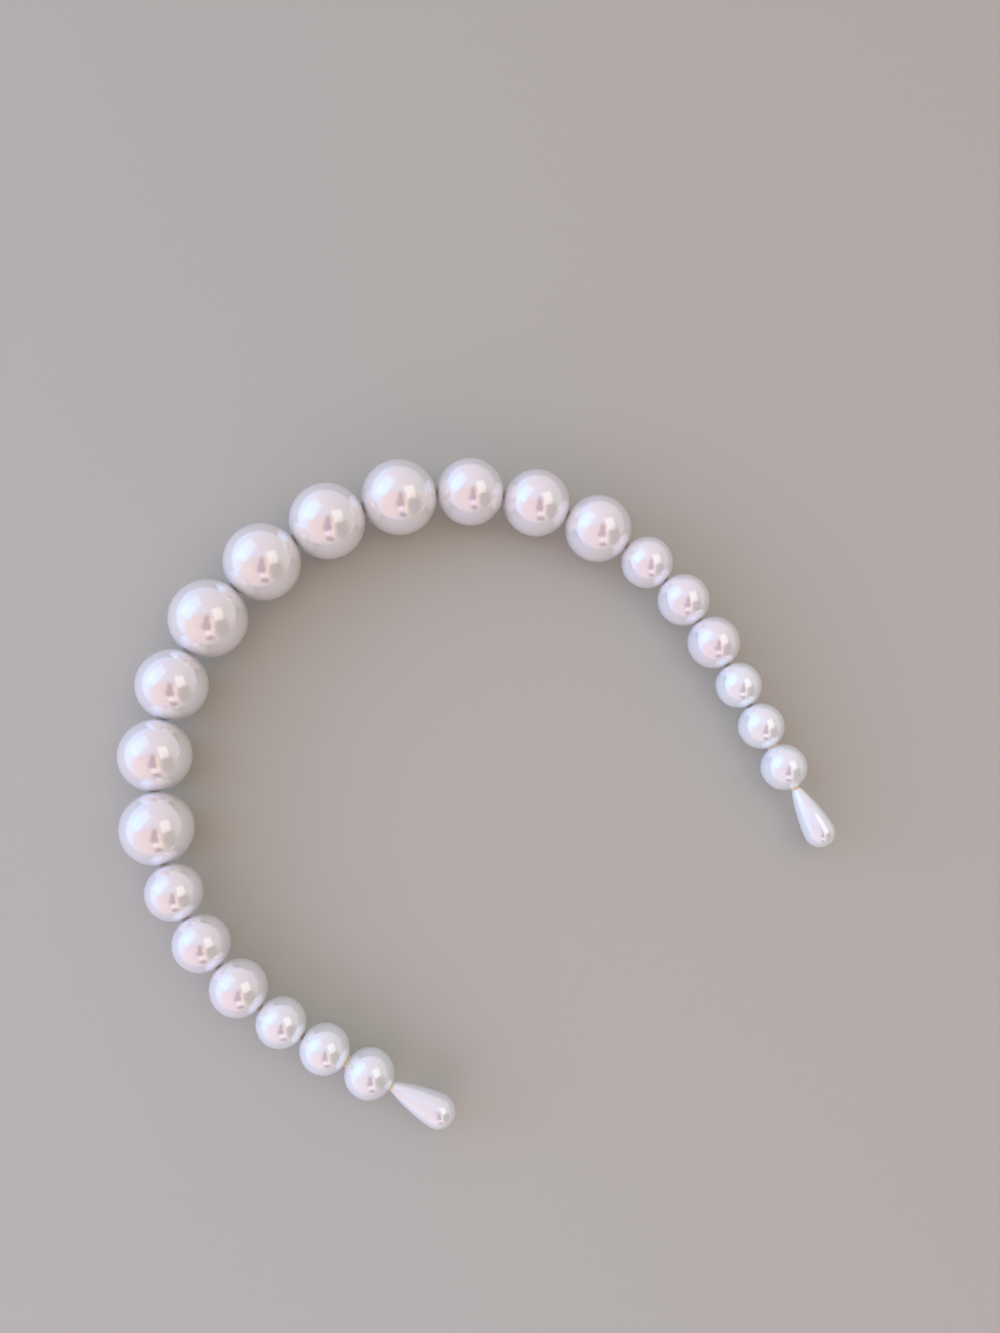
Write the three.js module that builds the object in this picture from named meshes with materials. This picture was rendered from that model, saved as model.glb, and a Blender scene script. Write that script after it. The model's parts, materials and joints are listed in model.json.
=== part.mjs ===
// Pearl headband. Twenty-two graduated round pearls are threaded on a C-shaped spring wire, and a
// drop pearl is glued on each end of the wire.
//
// Millimetres, +Z up. The band lies on its side with the crown towards +Y and the tips towards -Y.
// The spring wire is one piece on the real band. Here it is seven spans that meet in the gaps
// between pearls of different sizes, so that the arms can spring open.

import * as THREE from 'three';

// Pearls, named by size, from the middle of the crown out to a tip.
const PEARL_DIAMETER = { crown: 20, large: 18, medium: 14, small: 12.2 };
const PEARL_FACETS = { crown: 24, large: 20, medium: 18, small: 16 };
const ARM_SIZES = ['crown', 'crown', 'large', 'large', 'large', 'medium', 'medium', 'medium',
  'small', 'small', 'small'];
const PEARL_BORE_DIAMETER = 2;

// Gaps between neighbours on the thread: within a size, where the size changes, and at small pearls.
const THREAD_GAP = 0.06;
const FLEX_GAP = 0.12;
const SMALL_THREAD_GAP = 0.12;

// Spring wire. Each arm leaves the crown on a wide bend, tightens to its own radius, and runs
// straight at the tip. Lengths are along the wire from the middle of the crown.
const WIRE_DIAMETER = 1.2;
const WIRE_FACETS = 10;
const WIRE_STEP = 3.5;
const CROWN_BEND_RADIUS = 87;
const CROWN_EASE_LENGTH = 30;
const ARMS = {
  left: { side: -1, bendRadius: 72, bendEnd: 137, straightFrom: 160.5 },
  right: { side: 1, bendRadius: 75.5, bendEnd: 115, straightFrom: 146 },
};
const ARM_LENGTH = 200;
const TRACE_STEP = 0.25;
const SPAN_GAP = 0.3;

// Drop pearls, measured from the face of the neck.
const DROP_GAP = 0.22;
const DROP_LENGTH = 16.9;
const DROP_DIAMETER = 8.2;
const DROP_NECK_DIAMETER = 2.3;
const DROP_BORE_DIAMETER = 1.6;
const DROP_BORE_DEPTH = 6;
const DROP_FACETS = 18;
const WIRE_END_CLEARANCE = 0.3;

// Cured adhesive. It fills the drop's bore round the wire, and it stops the end of the last pearl.
const GLUE_FACETS = 12;
const GLUE_BORE_DIAMETER = 1.3;
const GLUE_CLEARANCE = 0.03;
const GLUE_PLUG_DIAMETER = 1.86;
const GLUE_PLUG_DEPTH = 2;
const GLUE_COLLAR_DIAMETER = 2.6;
const GLUE_COLLAR = 0.2;

const pearlMaterial = () => new THREE.MeshStandardMaterial({ color: 0xece4ea, roughness: 0.22, metalness: 0 });
const wireMaterial = () => new THREE.MeshStandardMaterial({ color: 0xd9b45c, roughness: 0.3, metalness: 1 });
const glueMaterial = () => new THREE.MeshStandardMaterial({ color: 0xe3c069, roughness: 0.2, metalness: 0 });

function namedMesh(name, geometry, material) {
  const mesh = new THREE.Mesh(geometry, material);
  mesh.name = name;
  return mesh;
}

// The wire's centreline --------------------------------------------------------------------------

function curvature(arm, length) {
  if (length < CROWN_EASE_LENGTH) {
    return THREE.MathUtils.lerp(1 / CROWN_BEND_RADIUS, 1 / arm.bendRadius, length / CROWN_EASE_LENGTH);
  }
  if (length < arm.bendEnd) return 1 / arm.bendRadius;
  const left = (arm.straightFrom - length) / (arm.straightFrom - arm.bendEnd);
  return Math.max(0, left) / arm.bendRadius;
}

function traceArm(arm) {
  const samples = [{ x: 0, y: 0, heading: 0 }];
  for (let step = 0; step < ARM_LENGTH / TRACE_STEP; step += 1) {
    const last = samples[step];
    const heading = last.heading + curvature(arm, (step + 0.5) * TRACE_STEP) * TRACE_STEP;
    const middle = (last.heading + heading) / 2;
    samples.push({
      x: last.x + arm.side * Math.cos(middle) * TRACE_STEP,
      y: last.y - Math.sin(middle) * TRACE_STEP,
      heading,
    });
  }
  return samples;
}

const traces = { left: traceArm(ARMS.left), right: traceArm(ARMS.right) };

// A point on the wire. Place is the length along it from the middle of the crown, negative on the
// left arm.
function wirePoint(place) {
  const trace = place < 0 ? traces.left : traces.right;
  const steps = Math.abs(place) / TRACE_STEP;
  const before = Math.min(Math.floor(steps), trace.length - 2);
  const { x, y } = trace[before];
  const after = trace[before + 1];
  const part = steps - before;
  return new THREE.Vector3(x + (after.x - x) * part, y + (after.y - y) * part, 0);
}

class WireCurve extends THREE.Curve {
  constructor(start, end) {
    super();
    this.start = start;
    this.end = end;
  }

  getPoint(part, target = new THREE.Vector3()) {
    return target.copy(wirePoint(THREE.MathUtils.lerp(this.start, this.end, part)));
  }
}

function wireSpan(name, start, end) {
  const section = new THREE.Shape(
    Array.from({ length: WIRE_FACETS }, (_, corner) => {
      const angle = (2 * Math.PI * corner) / WIRE_FACETS;
      return new THREE.Vector2(Math.cos(angle), Math.sin(angle)).multiplyScalar(WIRE_DIAMETER / 2);
    }),
  );
  const geometry = new THREE.ExtrudeGeometry(section, {
    steps: Math.max(2, Math.ceil(Math.abs(end - start) / WIRE_STEP)),
    extrudePath: new WireCurve(start, end),
    bevelEnabled: false,
  });
  return namedMesh(name, geometry, wireMaterial());
}

// Where each pearl sits --------------------------------------------------------------------------

// A straight bore on a bent wire: the pearl lies between the wire and its chord.
function seatOnWire(place, radius) {
  const reach = Math.sign(place) * radius;
  const inner = wirePoint(place - reach);
  const outer = wirePoint(place + reach);
  const centre = inner.clone().add(outer).multiplyScalar(0.5).add(wirePoint(place)).multiplyScalar(0.5);
  return { place, radius, centre, direction: outer.sub(inner).normalize() };
}

function gapBetween(last, size) {
  if (size === 'small') return SMALL_THREAD_GAP;
  return size === last.size ? THREAD_GAP : FLEX_GAP;
}

// The next seat on an arm. The first pearl of each arm keeps half a gap from the middle of the crown.
function nextSeat(arm, last, size) {
  const radius = PEARL_DIAMETER[size] / 2;
  const from = last ? last.place : 0;
  const pitch = last ? last.radius + radius + gapBetween(last, size) : radius + THREAD_GAP / 2;
  const distance = (seat) => (last ? seat.centre.distanceTo(last.centre) : Math.abs(seat.centre.x));
  let near = pitch * 0.98;
  let far = pitch * 1.03;
  while (far - near > 1e-6) {
    const middle = (near + far) / 2;
    if (distance(seatOnWire(from + arm.side * middle, radius)) < pitch) near = middle;
    else far = middle;
  }
  return { size, ...seatOnWire(from + arm.side * near, radius) };
}

function threadArm(arm) {
  return ARM_SIZES.reduce((seats, size) => [...seats, nextSeat(arm, seats.at(-1), size)], []);
}

// The wire's place halfway between two neighbours on the thread.
function betweenSeats(inner, outer) {
  const side = Math.sign(outer.place);
  return (inner.place + side * inner.radius + outer.place - side * outer.radius) / 2;
}

// Solids turned about their own +Y ---------------------------------------------------------------

function turnedAlong(direction, mesh, position) {
  mesh.position.copy(position);
  mesh.rotation.z = Math.atan2(direction.y, direction.x) - Math.PI / 2;
  return mesh;
}

function pearl(name, seat) {
  const bore = PEARL_BORE_DIAMETER / 2;
  const facets = PEARL_FACETS[seat.size];
  const mouth = Math.asin(bore / seat.radius);
  const rows = facets / 2;
  const profile = [];
  for (let row = 0; row <= rows; row += 1) {
    const angle = THREE.MathUtils.lerp(mouth, Math.PI - mouth, row / rows);
    profile.push(new THREE.Vector2(seat.radius * Math.sin(angle), -seat.radius * Math.cos(angle)));
  }
  profile.push(profile[0].clone());
  return turnedAlong(seat.direction, namedMesh(name, new THREE.LatheGeometry(profile, facets), pearlMaterial()),
    seat.centre);
}

// The drop's neck is at its origin and its round end is towards +Y.
function drop(name, neck, direction) {
  const radius = DROP_DIAMETER / 2;
  const bore = DROP_BORE_DIAMETER / 2;
  const equator = DROP_LENGTH - radius;
  const neckPoint = new THREE.Vector2(DROP_NECK_DIAMETER / 2, 0);
  const flank = new THREE.CubicBezierCurve(neckPoint, new THREE.Vector2(0.53 * radius, 0.15 * equator),
    new THREE.Vector2(radius, 0.73 * equator), new THREE.Vector2(radius, equator));
  const profile = [
    new THREE.Vector2(0, DROP_BORE_DEPTH),
    new THREE.Vector2(bore, DROP_BORE_DEPTH),
    new THREE.Vector2(bore, 0),
    ...flank.getPoints(7),
  ];
  const rows = 5;
  for (let row = 1; row <= rows; row += 1) {
    const angle = (Math.PI / 2) * (row / rows);
    profile.push(new THREE.Vector2(row === rows ? 0 : radius * Math.cos(angle), equator + radius * Math.sin(angle)));
  }
  return turnedAlong(direction, namedMesh(name, new THREE.LatheGeometry(profile, DROP_FACETS), pearlMaterial()), neck);
}

// A closed ring with a thick collar below zero and a thinner sleeve above it.
function glueRing(name, { collarStart, collarDiameter, sleeveEnd, sleeveDiameter }, position, direction) {
  const bore = GLUE_BORE_DIAMETER / 2;
  const collarEnd = collarStart + GLUE_COLLAR;
  const profile = [
    new THREE.Vector2(bore, collarStart),
    new THREE.Vector2(collarDiameter / 2, collarStart),
    new THREE.Vector2(collarDiameter / 2, collarEnd),
    new THREE.Vector2(sleeveDiameter / 2, collarEnd),
    new THREE.Vector2(sleeveDiameter / 2, sleeveEnd),
    new THREE.Vector2(bore, sleeveEnd),
    new THREE.Vector2(bore, collarStart),
  ];
  const geometry = new THREE.LatheGeometry(profile, GLUE_FACETS);
  return turnedAlong(direction, namedMesh(name, geometry, glueMaterial()), position);
}

// Assembly ---------------------------------------------------------------------------------------

// A stretch of the band that moves as one. Its origin is the point that the wire flexes about.
function stretch(parent, place, meshes) {
  const group = new THREE.Group();
  group.position.copy(wirePoint(place));
  parent.attach(group);
  group.updateMatrixWorld(true);
  meshes.forEach((mesh) => group.attach(mesh));
  return group;
}

function endPieces(sideName, lastSeat) {
  const { centre, direction, radius } = lastSeat;
  const neck = centre.clone().addScaledVector(direction, radius + DROP_GAP);
  const face = centre.clone().addScaledVector(direction, -Math.sqrt(radius ** 2 - (GLUE_COLLAR_DIAMETER / 2) ** 2));
  return [
    drop(`drop_${sideName}`, neck, direction),
    glueRing(`glue_${sideName}_drop`, {
      collarStart: -GLUE_COLLAR - GLUE_CLEARANCE,
      collarDiameter: DROP_NECK_DIAMETER,
      sleeveEnd: DROP_BORE_DEPTH - GLUE_CLEARANCE,
      sleeveDiameter: DROP_BORE_DIAMETER - 4 * GLUE_CLEARANCE,
    }, neck, direction),
    glueRing(`glue_${sideName}_pearl`, {
      collarStart: -GLUE_COLLAR - 2 * GLUE_CLEARANCE,
      collarDiameter: GLUE_COLLAR_DIAMETER,
      sleeveEnd: GLUE_PLUG_DEPTH,
      sleeveDiameter: GLUE_PLUG_DIAMETER,
    }, face, direction),
  ];
}

function buildArm(crown, sideName, seats) {
  const { side } = ARMS[sideName];
  const flexes = ['large', 'medium', 'small'].map((size) => {
    const first = seats.findIndex((seat) => seat.size === size);
    return betweenSeats(seats[first - 1], seats[first]);
  });
  const lastSeat = seats.at(-1);
  const wireEnd = lastSeat.place + side * (lastSeat.radius + DROP_GAP + DROP_BORE_DEPTH - WIRE_END_CLEARANCE);
  const pearls = (size) => seats.filter((seat) => seat.size === size)
    .map((seat, index) => pearl(`pearl_${sideName}_${size}_${index + 1}`, seat));
  const span = (name, start, end) => wireSpan(`wire_${sideName}_${name}`,
    start + side * SPAN_GAP / 2, end - side * SPAN_GAP / 2);

  const upper = stretch(crown, flexes[0], [span('upper', flexes[0], flexes[1]), ...pearls('large')]);
  const middle = stretch(upper, flexes[1], [span('middle', flexes[1], flexes[2]), ...pearls('medium')]);
  stretch(middle, flexes[2], [
    span('tip', flexes[2], wireEnd),
    ...pearls('small'),
    ...endPieces(sideName, lastSeat),
  ]);
  return flexes[0];
}

function buildBand() {
  const left = threadArm(ARMS.left);
  const right = threadArm(ARMS.right);
  const band = new THREE.Group();
  const leftFlex = buildArm(band, 'left', left);
  const rightFlex = buildArm(band, 'right', right);
  band.add(wireSpan('wire_crown', leftFlex + SPAN_GAP / 2, rightFlex - SPAN_GAP / 2));
  [left[1], left[0], right[0], right[1]].forEach((seat, index) => band.add(pearl(`pearl_crown_${index + 1}`, seat)));

  // The band rests on the outer crown pearls and the third large pearl of each arm.
  const [crownRest, largeRest] = [left[1], left[4]];
  const run = crownRest.centre.y - largeRest.centre.y;
  band.rotation.x = Math.asin((crownRest.radius - largeRest.radius) / run);
  return band;
}

// The origin is under the middle of the band, on the surface that it lies on.
const headband = new THREE.Group();
const band = buildBand();
headband.add(band);
headband.updateMatrixWorld(true);
const bounds = new THREE.Box3().setFromObject(headband, true);
const middle = bounds.getCenter(new THREE.Vector3());
band.position.set(-middle.x, -middle.y, -bounds.min.z);
headband.updateMatrixWorld(true);

export default headband;
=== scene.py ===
# A pearl headband, lying on its side on a plain pale floor.
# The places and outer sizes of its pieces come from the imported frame: the pearls' and the wire's from
# the joints, and those of the tips from their own meshes.

import json
import math

import bmesh
import bpy
from mathutils import Matrix, Quaternion, Vector, noise


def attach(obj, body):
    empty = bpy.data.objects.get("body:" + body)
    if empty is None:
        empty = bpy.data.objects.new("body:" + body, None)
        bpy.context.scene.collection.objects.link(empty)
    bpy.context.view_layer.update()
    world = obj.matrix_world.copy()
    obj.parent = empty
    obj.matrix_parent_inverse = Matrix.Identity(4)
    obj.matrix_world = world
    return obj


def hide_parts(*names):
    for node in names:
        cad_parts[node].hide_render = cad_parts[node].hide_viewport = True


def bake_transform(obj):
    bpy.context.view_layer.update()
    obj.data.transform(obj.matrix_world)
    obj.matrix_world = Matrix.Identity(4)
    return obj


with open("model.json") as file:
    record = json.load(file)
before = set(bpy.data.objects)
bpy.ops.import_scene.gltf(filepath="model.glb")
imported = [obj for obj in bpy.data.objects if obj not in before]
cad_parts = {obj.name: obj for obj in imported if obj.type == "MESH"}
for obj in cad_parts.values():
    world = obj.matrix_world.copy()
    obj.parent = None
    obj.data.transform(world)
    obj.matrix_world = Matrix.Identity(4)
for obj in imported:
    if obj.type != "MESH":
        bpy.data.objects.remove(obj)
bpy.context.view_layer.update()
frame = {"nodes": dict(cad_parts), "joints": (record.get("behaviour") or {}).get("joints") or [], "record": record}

MM = 0.001

# Sizes that aren't read from the frame, in millimetres. The lip and the wave are what keeps a lacquered pearl from
# being a perfect ball.
WIRE_RADIUS = 0.6
BORE_RADIUS = 1.0
RIM_ROUND = 0.08
LACQUER_LIP = 0.01
LIP_WIDTH = 0.55
WAVE_HEIGHT = 0.018
WAVE_LENGTH = 6.0
DROP_BORE_RADIUS = 0.8
DROP_BORE_DEPTH = 6.0
DROP_BORE_RINGS = (4.0, 2.0, 0.4, 0.1)
DROP_NECK_ROUND = 0.06
ADHESIVE_CLEARANCE = 0.02
ADHESIVE_WETTING = 0.01
ADHESIVE_FLARE = 0.26
STOP_RADIUS = 1.3

# Outlines of the adhesive, in millimetres. At a drop: radius past that of its neck, and height above
# its face. At the inner hole of an end pearl: radius, and depth inside the pearl's surface at
# STOP_RADIUS, between an inner and an outer end at the wire.
NECK_OUTLINE = [(-0.04, -0.01), (0.02, 0.16), (0.07, 0.12), (0.06, -0.08), (0.10, -0.22)]
STOP_OUTLINE = [(0.92, 1.7), (0.94, 0.1), (0.98, -0.05), (1.15, -0.04), (1.30, 0.01), (1.55, 0.07),
                (1.50, -0.05), (1.42, -0.20), (1.48, -0.33), (1.54, -0.42), (1.28, -0.36), (1.00, -0.30)]
STOP_INNER_END = 2.0
STOP_OUTER_END = -0.28

# The two middle control points of a drop's flank, as shares of its radius and of its equator's height.
DROP_FLANK = [(0.53, 0.15), (1.0, 0.73)]

# How finely the meshes are divided. The rows of a pearl crowd towards its holes.
PEARL_SEGMENTS = 64
PEARL_ROWS = 44
ROW_CROWDING = 0.05
RIM_STEPS = 5
PEARL_BORE_RINGS = (0.6, 0.2, -0.2, -0.6)
WIRE_SEGMENTS = 20
WIRE_STEPS = 12
WIRE_END_SHARE = 0.7
FLANK_STEPS = 36
DROP_END_STEPS = 24
ADHESIVE_SEGMENTS = 40

# Each size of pearl leans its white a little. This is painted light: warmer at the crown and bluer at the small
# pearls out at the tips, for the light that falls there.
PAINTED_LIGHT_TINTS = {
    "crown": (1.00, 0.98, 0.94),
    "large": (1.00, 0.985, 0.965),
    "medium": (1.00, 1.00, 1.00),
    "small": (1.00, 1.05, 1.08),
}

# The scale of each texture's noise, in waves per metre.
LACQUER_CLOUDS = 85
LACQUER_RIPPLE = 260
LACQUER_FLOW = 420
GILT_WEAR = 900
GILT_GRAIN = 5000
ADHESIVE_CLOUDS = 1500
ADHESIVE_RIPPLE = 2500

# The camera looks at the target from this azimuth and elevation, in degrees, and is then rolled.
TARGET = Vector((0.0237, 0.0101, 0.010))
CAMERA_AZIMUTH = 62.05
CAMERA_ELEVATION = 77.53
CAMERA_ROLL = 27.12
CAMERA_DISTANCE = 0.2765
CAMERA_LENS = 28.70
SENSOR_WIDTH = 36

# Soft boxes: direction from the band as the camera sees it, distance, width and height in metres,
# watts, colour, and whether the pearls mirror it.
SOFTBOXES = {
    "window": ((-0.60, 0.47, 0.62), 0.9, (0.90, 0.60), 0.70, (0.14, 0.68, 1.0), True),
    "lamp": ((0.62, 0.20, 0.76), 0.9, (0.62, 0.50), 0.46, (1.0, 0.93, 0.84), True),
    "skylight": ((-0.35, -0.74, 0.56), 0.8, (0.9, 0.6), 2.3, (0.64, 0.70, 1.0), False),
    "side_fill": ((-0.93, 0.02, 0.36), 1.2, (0.9, 0.5), 6.5, (0.46, 0.60, 1.0), False),
}

FLOOR_HALF_SIDE = 12
FLOOR_COLOUR = (0.52, 0.505, 0.425)
BACKDROP_COLOUR = (0.56, 0.54, 0.52)
WALL_COLOUR = (0.66, 0.64, 0.655)

# Soft oval patches of colour on the walls, each over the one before: where its centre shows on a
# round pearl, its reach across and up, the softness of its edge, and its colour.
WALL_PATCHES = [
    ((-0.85, 0.30), (0.80, 0.95), 0.6, (0.70, 0.84, 1.30)),    # daylight on the window side
    ((0.48, -0.46), (0.40, 0.40), 0.6, (0.60, 0.53, 0.46)),    # warm wall across from it
    ((0.05, 0.45), (0.40, 0.28), 0.5, (0.80, 0.70, 0.76)),     # mauve over the band
    ((-0.66, -0.20), (0.10, 0.42), 0.4, (0.72, 0.82, 1.15)),   # narrow strip of daylight
    ((-0.06, -0.26), (0.44, 0.36), 0.25, (0.78, 0.57, 0.50)),  # peach behind the camera
    ((0.46, -0.26), (0.16, 0.28), 0.4, (0.34, 0.32, 0.28)),    # dim corner
    ((0.22, -0.26), (0.03, 0.22), 0.5, (1.15, 0.92, 0.80)),    # bright edge beside the camera
    ((0.09, -0.07), (0.07, 0.15), 0.5, (0.30, 0.13, 0.17)),    # the dim place where the camera stands
    ((0.08, -0.22), (0.12, 0.11), 0.5, (0.30, 0.13, 0.17)),
    ((0.10, -0.38), (0.08, 0.06), 0.4, (1.05, 0.92, 1.05)),    # light that passes under it
    ((0.13, -0.52), (0.11, 0.06), 0.3, (0.20, 0.14, 0.20)),
]


# The thread --------------------------------------------------------------------------------------

joints = {joint["name"]: joint for joint in frame["joints"]}


def mesh_centroid(node):
    """The centre of volume of a CAD node."""
    mesh = frame["nodes"][node].data
    mesh.calc_loop_triangles()
    volume = 0.0
    moment = Vector()
    for triangle in mesh.loop_triangles:
        a, b, c = (mesh.vertices[index].co for index in triangle.vertices)
        share = a.dot(b.cross(c))
        volume += share
        moment += share * (a + b + c) / 4
    return moment / volume


def farthest(node, centre):
    """How far a CAD node reaches from a point."""
    return max((vertex.co - centre).length for vertex in frame["nodes"][node].data.vertices)


def arm_nodes(side):
    """The pearls of one arm, from the middle of the crown out to the tip."""
    crown = ["pearl_crown_2", "pearl_crown_1"] if side == "left" else ["pearl_crown_3", "pearl_crown_4"]
    return crown + [f"pearl_{side}_{size}_{number}"
                    for size in ("large", "medium", "small") for number in (1, 2, 3)]


def read_pearl(node, side):
    """Centre, outward bore axis and radius of a pearl. The end pearl is glued, so it has no joint."""
    joint = joints.get(node.replace("pearl_", "spin_"))
    if joint:
        centre = Vector(joint["pos_m"])
        axis = Vector(joint["axis"])
    else:
        centre = mesh_centroid(node)
        axis = (mesh_centroid(f"drop_{side}") - centre).normalized()
    return {"node": node, "centre": centre, "axis": axis, "radius": farthest(node, centre)}


arms = {side: [read_pearl(node, side) for node in arm_nodes(side)] for side in ("left", "right")}
band_normal = Vector(joints["flex_right_upper"]["axis"]).normalized()


def thread():
    """Every pearl from the left tip to the right tip, with its axis pointing along that way."""
    left = [dict(pearl, axis=-pearl["axis"]) for pearl in reversed(arms["left"])]
    return left + [dict(pearl) for pearl in arms["right"]]


def wire_knots():
    """Points and directions of the wire inside each pearl. A bent wire in a straight bore lies on
    the outer side of the bore at its middle."""
    pearls = thread()
    knots = []
    for index, pearl in enumerate(pearls):
        before = pearls[max(index - 1, 0)]
        after = pearls[min(index + 1, len(pearls) - 1)]
        turn = before["axis"].angle(after["axis"], 0.0)
        run = (after["centre"] - before["centre"]).length
        outward = band_normal.cross(pearl["axis"])
        offset = pearl["radius"] ** 2 * (turn / run) / 4
        knots.append((pearl["centre"] + outward * offset, pearl["axis"]))
    return knots


def hermite(start, end, part):
    """The point a part of the way along the smooth curve between two knots."""
    (p0, d0), (p1, d1) = start, end
    length = (p1 - p0).length
    t2, t3 = part ** 2, part ** 3
    return ((2 * t3 - 3 * t2 + 1) * p0 + (t3 - 2 * t2 + part) * length * d0
            + (3 * t2 - 2 * t3) * p1 + (t3 - t2) * length * d1)


# Meshes ------------------------------------------------------------------------------------------

def new_object(name, bm, matrix=None):
    bmesh.ops.recalc_face_normals(bm, faces=bm.faces)
    mesh = bpy.data.meshes.new(name)
    bm.to_mesh(mesh)
    bm.free()
    mesh.shade_smooth()
    obj = bpy.data.objects.new(name, mesh)
    bpy.context.scene.collection.objects.link(obj)
    if matrix:
        obj.matrix_world = matrix
    return obj


def along(point, axis):
    """A matrix whose +Z lies along the axis, with its +X in the plane of the band."""
    z = axis.normalized()
    x = band_normal.cross(z).normalized()
    y = z.cross(x)
    return Matrix.Translation(point) @ Matrix((x, y, z)).transposed().to_4x4()


def turned(name, profile, matrix, segments=PEARL_SEGMENTS):
    """A solid of revolution about +Z from (radius, height) points in millimetres. The profile starts
    and ends on the axis, or closes on itself."""
    bm = bmesh.new()
    on_axis = profile[0][0] == 0
    rings = []
    for radius, height in profile:
        if radius == 0:
            rings.append([bm.verts.new((0, 0, height * MM))])
            continue
        ring = []
        for step in range(segments):
            angle = 2 * math.pi * step / segments
            x, y = radius * math.cos(angle), radius * math.sin(angle)
            ring.append(bm.verts.new((x * MM, y * MM, height * MM)))
        rings.append(ring)
    pairs = list(zip(rings, rings[1:]))
    if not on_axis:
        pairs.append((rings[-1], rings[0]))
    for low, high in pairs:
        for step in range(segments):
            after = (step + 1) % segments
            corners = [low[step % len(low)], low[after % len(low)],
                       high[after % len(high)], high[step % len(high)]]
            bm.faces.new(list(dict.fromkeys(corners)))
    return new_object(name, bm, matrix)


def tube(name, points, radius, segments=WIRE_SEGMENTS):
    """A closed round rod along points in metres, all in the plane of the band, with narrowed ends."""
    bm = bmesh.new()
    rings = []
    last = len(points) - 1
    for index, point in enumerate(points):
        direction = (points[min(index + 1, last)] - points[max(index - 1, 0)]).normalized()
        side = band_normal.cross(direction)
        scale = radius * (WIRE_END_SHARE if index in (0, last) else 1.0)
        ring = []
        for step in range(segments):
            angle = 2 * math.pi * step / segments
            spoke = math.cos(angle) * side + math.sin(angle) * band_normal
            ring.append(bm.verts.new(point + scale * spoke))
        rings.append(ring)
    for low, high in zip(rings, rings[1:]):
        for step in range(segments):
            after = (step + 1) % segments
            bm.faces.new((low[step], low[after], high[after], high[step]))
    bm.faces.new(rings[0])
    bm.faces.new(rings[-1])
    return new_object(name, bm)


# Materials ---------------------------------------------------------------------------------------

def material(name):
    """A new material, its node tree and its shader."""
    mat = bpy.data.materials.new(name)
    mat.use_nodes = True
    return mat, mat.node_tree, mat.node_tree.nodes["Principled BSDF"]


def noise_texture(tree, scale, detail=2.0):
    coordinates = tree.nodes.new("ShaderNodeTexCoord")
    texture = tree.nodes.new("ShaderNodeTexNoise")
    texture.inputs["Scale"].default_value = scale
    texture.inputs["Detail"].default_value = detail
    tree.links.new(coordinates.outputs["Object"], texture.inputs["Vector"])
    return texture.outputs["Fac"]


def ramp(tree, factor, stops):
    node = tree.nodes.new("ShaderNodeValToRGB")
    elements = node.color_ramp.elements
    while len(elements) < len(stops):
        elements.new(0.5)
    for element, (position, colour) in zip(elements, stops):
        element.position = position
        element.color = (*colour, 1.0)
    tree.links.new(factor, node.inputs["Fac"])
    return node.outputs["Color"]


def remap(tree, value, low, high):
    node = tree.nodes.new("ShaderNodeMapRange")
    node.inputs["To Min"].default_value = low
    node.inputs["To Max"].default_value = high
    tree.links.new(value, node.inputs["Value"])
    return node.outputs["Result"]


def bump(tree, shader, height, distance):
    node = tree.nodes.new("ShaderNodeBump")
    node.inputs["Strength"].default_value = 1.0
    node.inputs["Distance"].default_value = distance
    tree.links.new(height, node.inputs["Height"])
    tree.links.new(node.outputs["Normal"], shader.inputs["Normal"])


def set_inputs(shader, values):
    """Sets the shader's own sockets to what is the same all over the surface."""
    for socket, value in values.items():
        shader.inputs[socket].default_value = value


def pearl_lacquer(pearl_group, tint):
    """Layers of pearl lacquer under a clear coat: white with faint pink, cream and lavender clouds."""
    mat, tree, shader = material(f"pearl_lacquer_{pearl_group}")
    clouds = noise_texture(tree, LACQUER_CLOUDS, detail=1.5)
    stops = [(0.30, (0.96, 0.95, 0.92)), (0.50, (0.96, 0.94, 0.95)), (0.70, (0.93, 0.94, 0.98))]
    # The group's tint is painted light: it leans each white warmer or bluer.
    tinted = [(place, [min(1.0, part * share) for part, share in zip(white, tint)])
              for place, white in stops]
    tree.links.new(ramp(tree, clouds, tinted), shader.inputs["Base Color"])
    flow = noise_texture(tree, LACQUER_FLOW, detail=3)
    tree.links.new(remap(tree, flow, 0.11, 0.16), shader.inputs["Roughness"])
    bump(tree, shader, noise_texture(tree, LACQUER_RIPPLE), 0.08 * MM)
    set_inputs(shader, {
        "Metallic": 0.48, "IOR": 1.55,
        "Coat Weight": 0.6, "Coat Roughness": 0.08, "Coat IOR": 1.5,
        "Sheen Weight": 0.30, "Sheen Roughness": 0.35, "Sheen Tint": (0.95, 0.92, 1.0, 1.0),
        "Thin Film Thickness": 420, "Thin Film IOR": 1.45,
    })
    return mat


def gilt_wire_painted_shade():
    """Worn gold plate, darkened to a dull brown as painted shade, so the wire reads as the shadow in the gaps
    between the pearls.
    """
    mat, tree, shader = material("gilt_wire_painted_shade")
    wear = noise_texture(tree, GILT_WEAR, detail=4)
    # Both browns are painted shade, darker than gold. The mottling between them is wear.
    colour = ramp(tree, wear, [(0.3, (0.52, 0.38, 0.18)), (0.7, (0.64, 0.49, 0.26))])
    tree.links.new(colour, shader.inputs["Base Color"])
    tree.links.new(remap(tree, wear, 0.30, 0.45), shader.inputs["Roughness"])
    bump(tree, shader, noise_texture(tree, GILT_GRAIN), 0.003 * MM)
    set_inputs(shader, {"Metallic": 1.0})
    return mat


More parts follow.
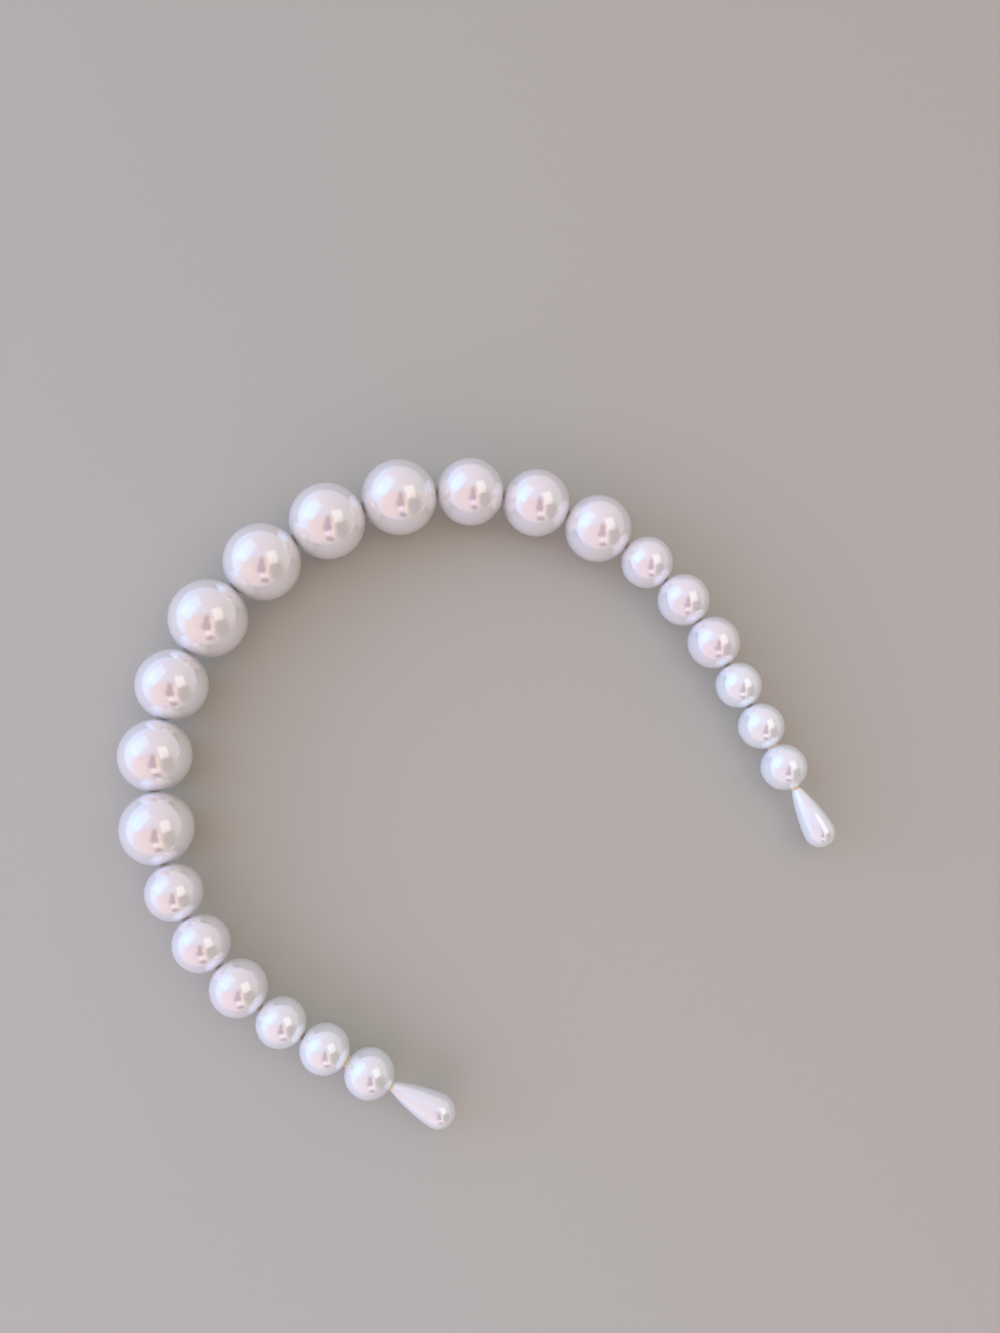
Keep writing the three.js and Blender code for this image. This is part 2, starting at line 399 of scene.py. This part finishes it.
def amber_adhesive():
    """Cloudy, cured amber adhesive with a glossy skin."""
    mat, tree, shader = material("amber_adhesive")
    clouds = noise_texture(tree, ADHESIVE_CLOUDS)
    colour = ramp(tree, clouds, [(0.35, (0.96, 0.80, 0.46)), (0.65, (0.98, 0.88, 0.62))])
    tree.links.new(colour, shader.inputs["Base Color"])
    tree.links.new(remap(tree, clouds, 0.10, 0.22), shader.inputs["Roughness"])
    bump(tree, shader, noise_texture(tree, ADHESIVE_RIPPLE), 0.01 * MM)
    set_inputs(shader, {"Transmission Weight": 0.15, "IOR": 1.48, "Coat Weight": 0.5})
    return mat


def plain_floor():
    mat, _, shader = material("plain_floor")
    set_inputs(shader, {"Base Color": (*FLOOR_COLOUR, 1.0), "Roughness": 0.85})
    return mat


LACQUERS = {pearl_group: pearl_lacquer(pearl_group, tint) for pearl_group, tint in PAINTED_LIGHT_TINTS.items()}
GILT = gilt_wire_painted_shade()
ADHESIVE = amber_adhesive()


def finish_piece(obj, mat, slot, body, *nodes):
    """Gives a piece its material, what it replaces and, when one is given, its body. The slot is not used."""
    obj.data.materials.append(mat)
    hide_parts(*nodes)
    if body:
        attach(obj, body)


def body_of_node(node):
    bodies = frame["record"]["behaviour"]["bodies"]
    return next(body for body, members in bodies.items() if node in members)


# Round pearls ------------------------------------------------------------------------------------

def pearl_profile(radius):
    """A drilled ball: the lacquer stands up in a faint lip round each hole, and the rims are rounded."""
    mouth = math.asin((BORE_RADIUS + RIM_ROUND) / radius)
    outside = []
    for row in range(PEARL_ROWS + 1):
        share = row / PEARL_ROWS
        eased = share - math.sin(2 * math.pi * share) * ROW_CROWDING
        angle = mouth + (math.pi - 2 * mouth) * eased
        from_rim = radius * min(angle - mouth, math.pi - mouth - angle)
        lip = LACQUER_LIP * math.exp(-(from_rim / LIP_WIDTH) ** 2)
        outside.append(((radius + lip) * math.sin(angle), -(radius + lip) * math.cos(angle)))
    face = outside[-1][1]
    rim = []
    for step in range(1, RIM_STEPS + 1):
        angle = math.pi / 2 * step / RIM_STEPS
        rim.append((BORE_RADIUS + RIM_ROUND * (1 - math.sin(angle)),
                    face - RIM_ROUND * (1 - math.cos(angle))))
    wall = [(BORE_RADIUS, share * (face - RIM_ROUND)) for share in PEARL_BORE_RINGS]
    return outside + rim + wall + [(r, -h) for r, h in reversed(rim)]


def wave(obj, seed):
    """The ball is never quite true: its surface wanders by a hundredth of a millimetre or two."""
    offset = Vector((seed * 3.7, seed * 1.9, seed * 5.3))
    for vertex in obj.data.vertices:
        if math.hypot(vertex.co.x, vertex.co.y) > (BORE_RADIUS + RIM_ROUND) * MM:
            height = noise.noise(vertex.co / (WAVE_LENGTH * MM) + offset)
            vertex.co += vertex.co.normalized() * (height * WAVE_HEIGHT * MM)


def make_pearl(pearl, seed):
    node = pearl["node"]
    name = node.replace("pearl_", "ball_")
    ball = turned(name, pearl_profile(pearl["radius"] / MM), along(pearl["centre"], pearl["axis"]))
    wave(ball, seed)
    pearl_group = "crown" if node.startswith("pearl_crown") else node.split("_")[2]
    finish_piece(ball, LACQUERS[pearl_group], "pearl", body_of_node(node), node)


for seed, pearl in enumerate(thread()):
    make_pearl(pearl, seed)


# Wire --------------------------------------------------------------------------------------------

def wire_points(knots):
    """Points along the wire's smooth curve through the knots, WIRE_STEPS from each to the next."""
    points = []
    for start, end in zip(knots, knots[1:]):
        points += [hermite(start, end, step / WIRE_STEPS) for step in range(WIRE_STEPS)]
    return points + [knots[-1][0]]


def tip_reach(side):
    """How far the wire's end lies beyond the end pearl's centre."""
    end = arms[side][-1]
    wire = frame["nodes"][f"wire_{side}_tip"].data
    return max((vertex.co - end["centre"]).dot(end["axis"]) for vertex in wire.vertices)


def make_wire():
    """The wire is one rod. It is drawn in lengths that meet inside pearls, out of sight."""
    knots = wire_knots()
    middle = len(knots) // 2
    for side in ("left", "right"):
        order = knots[middle - 1::-1] if side == "left" else knots[middle:]
        sign = -1 if side == "left" else 1
        arm = [(point, sign * direction) for point, direction in order]
        end_point = arm[-1][0] + arm[-1][1] * tip_reach(side)
        arm.append((end_point, arm[-1][1]))
        for first, part in zip((0, 3, 6), ("upper", "middle", "tip")):
            last = len(arm) - 1 if part == "tip" else first + 3
            body = f"wire_{side}_{part}"
            rod = tube(f"rod_{side}_{part}", wire_points(arm[first:last + 1]), WIRE_RADIUS * MM)
            finish_piece(rod, GILT, "wire", None, body)
            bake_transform(rod)
    crown = tube("rod_crown", wire_points(knots[middle - 1:middle + 1]), WIRE_RADIUS * MM)
    finish_piece(crown, GILT, "wire", "wire_crown", "wire_crown")


make_wire()


# Drop pearls and adhesive ------------------------------------------------------------------------

def drop_measures(side):
    """How far a drop's face and far end lie from the end pearl's centre, its largest radius and the
    radius of its neck, in millimetres."""
    end = arms[side][-1]
    offsets = [vertex.co - end["centre"] for vertex in frame["nodes"][f"drop_{side}"].data.vertices]
    heights = [offset.dot(end["axis"]) for offset in offsets]
    radii = [(offset - height * end["axis"]).length for offset, height in zip(offsets, heights)]
    face = min(heights)
    neck_radius = max(radius for radius, height in zip(radii, heights) if height < face + 0.01 * MM)
    return face / MM, max(heights) / MM, max(radii) / MM, neck_radius / MM


def bezier(points, part):
    """The point a part of the way along the curve that a list of control points makes."""
    while len(points) > 1:
        points = [(x0 + (x1 - x0) * part, y0 + (y1 - y0) * part)
                  for (x0, y0), (x1, y1) in zip(points, points[1:])]
    return points[0]


def drop_profile(length, radius, neck):
    """From the bottom of the blind bore out round the neck, along the flank and over the round end."""
    equator = length - radius
    bore = [(0, DROP_BORE_DEPTH), (DROP_BORE_RADIUS * 0.6, DROP_BORE_DEPTH),
            (DROP_BORE_RADIUS, DROP_BORE_DEPTH - 0.4)]
    bore += [(DROP_BORE_RADIUS, height) for height in DROP_BORE_RINGS]
    face = [(DROP_BORE_RADIUS + 0.05, 0.02), (neck - DROP_NECK_ROUND, 0.0)]
    middle = [(wide * radius, high * equator) for wide, high in DROP_FLANK]
    bends = [(neck, 0), *middle, (radius, equator)]
    flank = [bezier(bends, step / FLANK_STEPS) for step in range(1, FLANK_STEPS + 1)]
    angles = (math.pi / 2 * step / DROP_END_STEPS for step in range(1, DROP_END_STEPS))
    end = [(radius * math.cos(angle), equator + radius * math.sin(angle)) for angle in angles]
    return bore + face + flank + end + [(0, length)]


def make_tip(side):
    """The drop, the adhesive round its neck and the adhesive at the inner hole of the end pearl."""
    end = arms[side][-1]
    face, far, radius, neck = drop_measures(side)
    body = body_of_node(f"drop_{side}")
    place = along(end["centre"] + end["axis"] * face * MM, end["axis"])
    drop = turned(f"teardrop_{side}", drop_profile(far - face, radius, neck), place)
    finish_piece(drop, LACQUERS["small"], "pearl", body, f"drop_{side}")

    ball = end["radius"] / MM
    wire = WIRE_RADIUS + ADHESIVE_CLEARANCE
    sleeve = DROP_BORE_RADIUS - ADHESIVE_CLEARANCE
    flare = neck + ADHESIVE_FLARE

    def on_ball(radius):
        """The height of the end pearl's surface above the drop's face."""
        return math.sqrt(ball ** 2 - radius ** 2) - face

    mouth = on_ball(BORE_RADIUS) + ADHESIVE_CLEARANCE
    meniscus = [(wire, DROP_BORE_DEPTH - 0.1), (sleeve, DROP_BORE_DEPTH - 0.45),
                (sleeve, 0.1), (sleeve, -0.01)]
    meniscus += [(neck + past, height) for past, height in NECK_OUTLINE]
    meniscus += [(radius, on_ball(radius) - ADHESIVE_WETTING) for radius in (flare, neck)]
    meniscus += [(BORE_RADIUS - ADHESIVE_CLEARANCE, mouth), (wire, mouth)]
    ring = turned(f"adhesive_{side}_drop", meniscus, place, ADHESIVE_SEGMENTS)
    finish_piece(ring, ADHESIVE, "adhesive", body, f"glue_{side}_drop")

    rim = math.sqrt(ball ** 2 - STOP_RADIUS ** 2)
    inner_place = along(end["centre"] - end["axis"] * rim * MM, end["axis"])
    plug = [(wire, STOP_INNER_END), *STOP_OUTLINE, (wire, STOP_OUTER_END)]
    stop = turned(f"adhesive_{side}_pearl", plug, inner_place, ADHESIVE_SEGMENTS)
    finish_piece(stop, ADHESIVE, "adhesive", body, f"glue_{side}_pearl")


for side in arms:
    make_tip(side)


# Floor, light and camera -------------------------------------------------------------------------

def make_camera():
    azimuth, elevation = math.radians(CAMERA_AZIMUTH), math.radians(CAMERA_ELEVATION)
    forward = Vector((math.sin(azimuth) * math.cos(elevation), math.cos(azimuth) * math.cos(elevation),
                      -math.sin(elevation)))
    camera = bpy.data.objects.new("camera", bpy.data.cameras.new("camera"))
    camera.data.lens = CAMERA_LENS
    camera.data.sensor_width = SENSOR_WIDTH
    camera.data.clip_start = 0.01
    camera.location = TARGET - forward * CAMERA_DISTANCE
    level = forward.to_track_quat("-Z", "Y")
    camera.rotation_mode = "QUATERNION"
    camera.rotation_quaternion = level @ Quaternion((0, 0, 1), math.radians(CAMERA_ROLL))
    bpy.context.scene.collection.objects.link(camera)
    bpy.context.scene.camera = camera
    return camera


def softbox(name, camera, direction, distance, size, energy, colour, reflected):
    """An area light aimed at the band. Its direction is as the camera sees it, and its height runs
    along the camera's line of sight."""
    rotation = camera.rotation_quaternion
    direction = (rotation @ Vector(direction)).normalized()
    data = bpy.data.lights.new(name, "AREA")
    data.shape = "RECTANGLE"
    data.size, data.size_y = size
    data.energy = energy
    data.color = colour
    light = bpy.data.objects.new(name, data)
    light.visible_glossy = reflected
    light.location = TARGET + direction * distance
    light.rotation_mode = "QUATERNION"
    facing = direction.to_track_quat("Z", "Y")
    upright = facing.to_matrix().inverted() @ (rotation @ Vector((0, 0, 1)))
    light.rotation_quaternion = facing @ Quaternion((0, 0, 1), math.atan2(-upright.x, upright.y))
    bpy.context.scene.collection.objects.link(light)


def make_floor():
    bm = bmesh.new()
    bmesh.ops.create_grid(bm, x_segments=1, y_segments=1, size=FLOOR_HALF_SIDE)
    floor = new_object("floor", bm)
    floor.data.materials.append(plain_floor())


def vector_maths(tree, operation, *inputs):
    """The outputs of a vector-maths node, with its inputs linked or set."""
    made = tree.nodes.new("ShaderNodeVectorMath")
    made.operation = operation
    for socket, value in zip(made.inputs, inputs):
        if isinstance(value, bpy.types.NodeSocket):
            tree.links.new(value, socket)
        else:
            socket.default_value = value
    return made.outputs


def mix_colours(tree, share, under, colour):
    """A fixed colour laid over another by a share."""
    mix = tree.nodes.new("ShaderNodeMix")
    mix.data_type = "RGBA"
    tree.links.new(share, mix.inputs["Factor"])
    tree.links.new(under, mix.inputs["A"])
    mix.inputs["B"].default_value = (*colour, 1.0)
    return mix.outputs["Result"]


def mirror_chart(tree, camera):
    """Where each direction shows on a round pearl: across and up, from -1 to 1, seen from where the
    camera starts. The walls stay where they are when the camera moves."""
    right, up, back = (camera.rotation_quaternion @ Vector(axis)
                       for axis in ((1, 0, 0), (0, 1, 0), (0, 0, 1)))
    direction = tree.nodes.new("ShaderNodeTexCoord").outputs["Generated"]
    halfway = vector_maths(tree, "ADD", direction, back)["Vector"]
    normal = vector_maths(tree, "NORMALIZE", halfway)["Vector"]
    chart = tree.nodes.new("ShaderNodeCombineXYZ")
    for socket, axis in zip(chart.inputs, (right, up)):
        tree.links.new(vector_maths(tree, "DOT_PRODUCT", normal, axis)["Value"], socket)
    return chart.outputs["Vector"]


def patch(tree, chart, under, centre, reach, softness, colour):
    """A soft oval patch on the walls, placed where it shows on a pearl."""
    away = vector_maths(tree, "SUBTRACT", chart, (*centre, 0))["Vector"]
    scaled = vector_maths(tree, "DIVIDE", away, (*reach, 1))["Vector"]
    share = tree.nodes.new("ShaderNodeMapRange")
    share.interpolation_type = "SMOOTHSTEP"
    share.inputs["From Min"].default_value = 1 + softness
    share.inputs["From Max"].default_value = 1 - softness
    tree.links.new(vector_maths(tree, "LENGTH", scaled)["Value"], share.inputs["Value"])
    return mix_colours(tree, share.outputs["Result"], under, colour)


def studio_walls(camera):
    """Soft fill from all round, in the colours that the pearls mirror, and a plain backdrop where
    the walls themselves are seen."""
    world = bpy.data.worlds.new("studio")
    world.use_nodes = True
    bpy.context.scene.world = world
    tree = world.node_tree
    chart = mirror_chart(tree, camera)
    colour = tree.nodes.new("ShaderNodeRGB").outputs["Color"]
    colour.default_value = (*WALL_COLOUR, 1.0)
    for wall_patch in WALL_PATCHES:
        colour = patch(tree, chart, colour, *wall_patch)
    seen = tree.nodes.new("ShaderNodeLightPath").outputs["Is Camera Ray"]
    shown = mix_colours(tree, seen, colour, BACKDROP_COLOUR)
    tree.links.new(shown, tree.nodes["Background"].inputs["Color"])


camera = make_camera()
make_floor()
for name, settings in SOFTBOXES.items():
    softbox(name, camera, *settings)
studio_walls(camera)

bpy.context.scene.view_settings.view_transform = "Standard"
